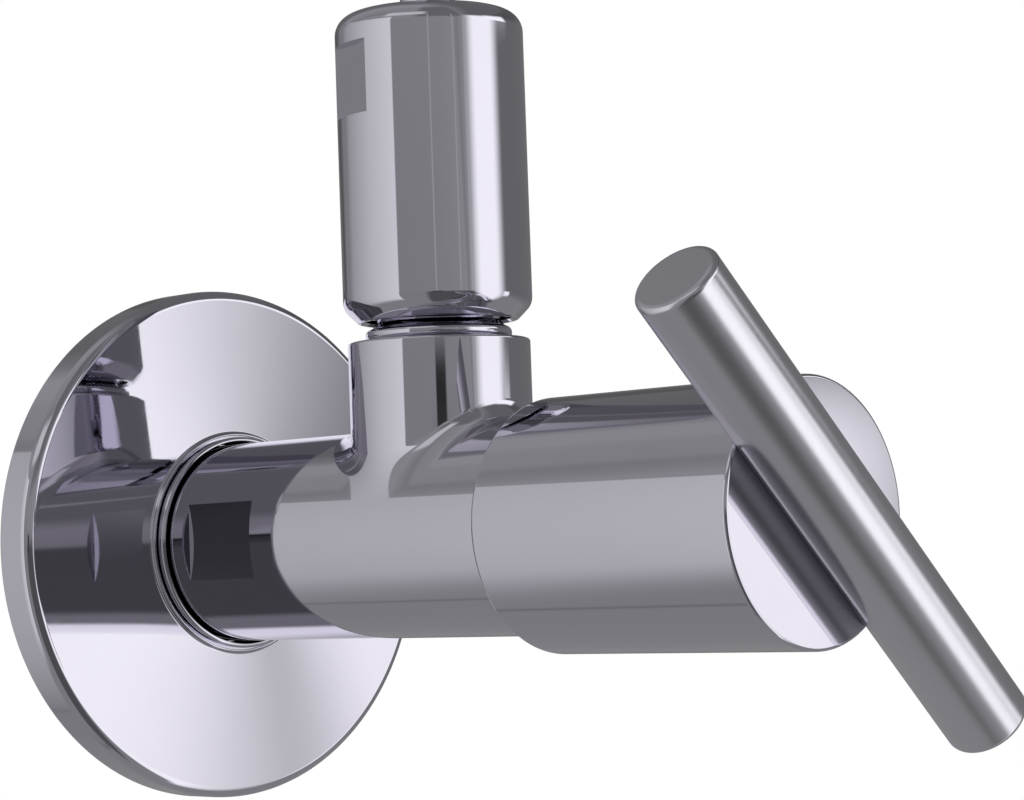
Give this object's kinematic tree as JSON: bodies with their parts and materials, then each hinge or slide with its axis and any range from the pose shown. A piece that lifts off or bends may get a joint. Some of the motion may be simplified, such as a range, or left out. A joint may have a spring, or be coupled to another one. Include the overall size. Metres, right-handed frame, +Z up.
{
  "type": "angle stop valve",
  "caption": "Wall-mounted chrome angle stop valve with a round wall flange, an upright outlet nut and tube, and a quarter-turn knob with a satin cross bar.",
  "frame": {"origin": "on the valve's inlet axis at the wall's face, which is the plane of the flange's back edge", "axes": "+Y along the inlet axis into the wall, so the handle points to -Y; +Z up along the outlet; +X to the right of someone who faces the handle"},
  "size_m": [0.062, 0.118, 0.103],
  "materials": {
    "chrome": "mirror polished chrome plate",
    "satin_bar": "satin, fine grain along the bar",
    "brass": "turned brass",
    "ceramic": "lapped alumina ceramic",
    "rubber": "black nitrile rubber",
    "steel": "stainless steel",
    "white_plastic": "moulded acetal"
  },
  "bodies": {
    "valve": {"valve_body": "chrome", "seat_seal": "rubber", "fixed_disc": "ceramic", "cartridge_housing": "brass", "cartridge_o_ring": "rubber", "thrust_washer": "white_plastic", "outlet_nut": "chrome", "outlet_tube": "chrome", "olive": "brass", "thrust_sleeve": "brass", "slip_washer": "white_plastic"},
    "flange": {"wall_flange": "chrome", "flange_o_ring": "rubber"},
    "handle": {"handle_hub": "chrome", "cross_bar": "satin_bar", "bar_screws": "steel", "grub_screw": "steel", "spline_adapter": "brass", "adapter_screw": "steel", "spindle": "brass", "moving_disc": "ceramic", "spindle_o_ring_inner": "rubber", "spindle_o_ring_outer": "rubber", "stop_ring": "brass", "spindle_circlip": "steel"}
  },
  "joints": [
    {"name": "handle_turn", "type": "hinge", "parent": "valve", "child": "handle", "pos_m": [0, 0, 0], "axis": [0, -1, 0], "range_deg": [-46.5, 43.5]},
    {"name": "flange_slide", "type": "slide", "parent": "valve", "child": "flange", "axis": [0, -1, 0], "range_m": [0, 0.02]}
  ]
}
